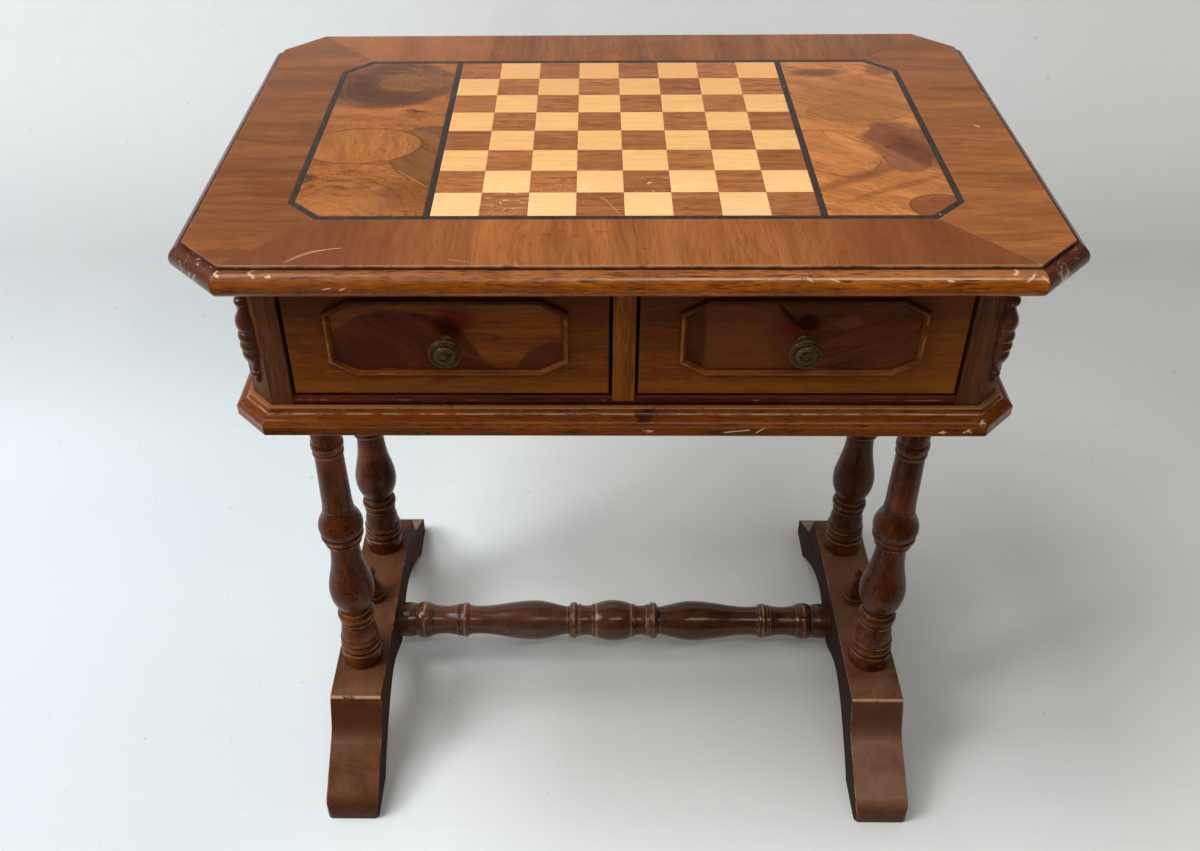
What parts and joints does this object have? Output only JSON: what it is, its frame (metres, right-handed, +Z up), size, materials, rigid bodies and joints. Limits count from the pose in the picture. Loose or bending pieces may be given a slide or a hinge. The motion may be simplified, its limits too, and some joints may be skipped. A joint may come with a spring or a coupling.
{
  "type": "games table",
  "caption": "Games table with a chess board inlaid in its eight-sided veneered top, drawers side by side under it, turned legs on shaped feet and a turned stretcher.",
  "frame": {"origin": "on the floor under the middle of the table", "axes": "+X along the table's length, to the right seen from the drawers; +Y from the drawers to the back; +Z up"},
  "size_m": [0.733, 0.499, 0.728],
  "materials": {
    "cross_banding": "walnut veneer laid across the border, French polished",
    "figured_walnut": "figured walnut veneer, French polished",
    "maple_inlay": "maple veneer, French polished",
    "walnut_inlay": "plain walnut veneer, French polished",
    "black_stringing": "dyed black veneer strips, polished",
    "polished_moulding": "stained and polished moulding, worn at the corners",
    "case_walnut": "walnut veneer, satin",
    "dark_post": "dark stained, matt",
    "stained_beech": "turned beech stained dark red-brown, satin",
    "plain_pine": "unfinished softwood",
    "antique_brass": "tarnished antique brass",
    "steel_screw": "plain steel"
  },
  "bodies": {
    "table": {"black_stringing": "black_stringing", "border_back": "cross_banding", "border_front": "cross_banding", "border_left": "cross_banding", "border_right": "cross_banding", "case_back": "case_walnut", "case_bottom": "plain_pine", "case_side_left": "case_walnut", "case_side_right": "case_walnut", "centre_partition": "plain_pine", "corner_post_back_left": "dark_post", "corner_post_back_right": "dark_post", "corner_post_front_left": "dark_post", "corner_post_front_right": "dark_post", "dark_squares": "walnut_inlay", "drawer_divider": "case_walnut", "drawer_runners": "plain_pine", "figured_panel_left": "figured_walnut", "figured_panel_right": "figured_walnut", "fixing_screws": "steel_screw", "foot_finial_left": "stained_beech", "foot_finial_right": "stained_beech", "foot_left": "stained_beech", "foot_right": "stained_beech", "front_bottom_rail": "case_walnut", "leg_back_left": "stained_beech", "leg_back_right": "stained_beech", "leg_bearer_left": "stained_beech", "leg_bearer_right": "stained_beech", "leg_front_left": "stained_beech", "leg_front_right": "stained_beech", "light_squares": "maple_inlay", "plinth_back": "polished_moulding", "plinth_corners": "polished_moulding", "plinth_front": "polished_moulding", "plinth_sides": "polished_moulding", "split_balusters": "stained_beech", "stretcher": "stained_beech", "top_core": "plain_pine", "top_glue_blocks": "plain_pine", "top_moulding_back": "polished_moulding", "top_moulding_corners": "polished_moulding", "top_moulding_front": "polished_moulding", "top_moulding_sides": "polished_moulding"},
    "left_drawer": {"left_drawer_back": "plain_pine", "left_drawer_bottom": "plain_pine", "left_drawer_frame": "case_walnut", "left_drawer_front": "case_walnut", "left_drawer_knob": "antique_brass", "left_drawer_side_inner": "plain_pine", "left_drawer_side_outer": "plain_pine", "left_drawer_veneer": "figured_walnut"},
    "right_drawer": {"right_drawer_back": "plain_pine", "right_drawer_bottom": "plain_pine", "right_drawer_frame": "case_walnut", "right_drawer_front": "case_walnut", "right_drawer_knob": "antique_brass", "right_drawer_side_inner": "plain_pine", "right_drawer_side_outer": "plain_pine", "right_drawer_veneer": "figured_walnut"}
  },
  "joints": [
    {"name": "left_drawer_slide", "type": "slide", "parent": "table", "child": "left_drawer", "axis": [0, -1, 0], "range_m": [0, 0.3]},
    {"name": "right_drawer_slide", "type": "slide", "parent": "table", "child": "right_drawer", "axis": [0, -1, 0], "range_m": [0, 0.3]}
  ]
}
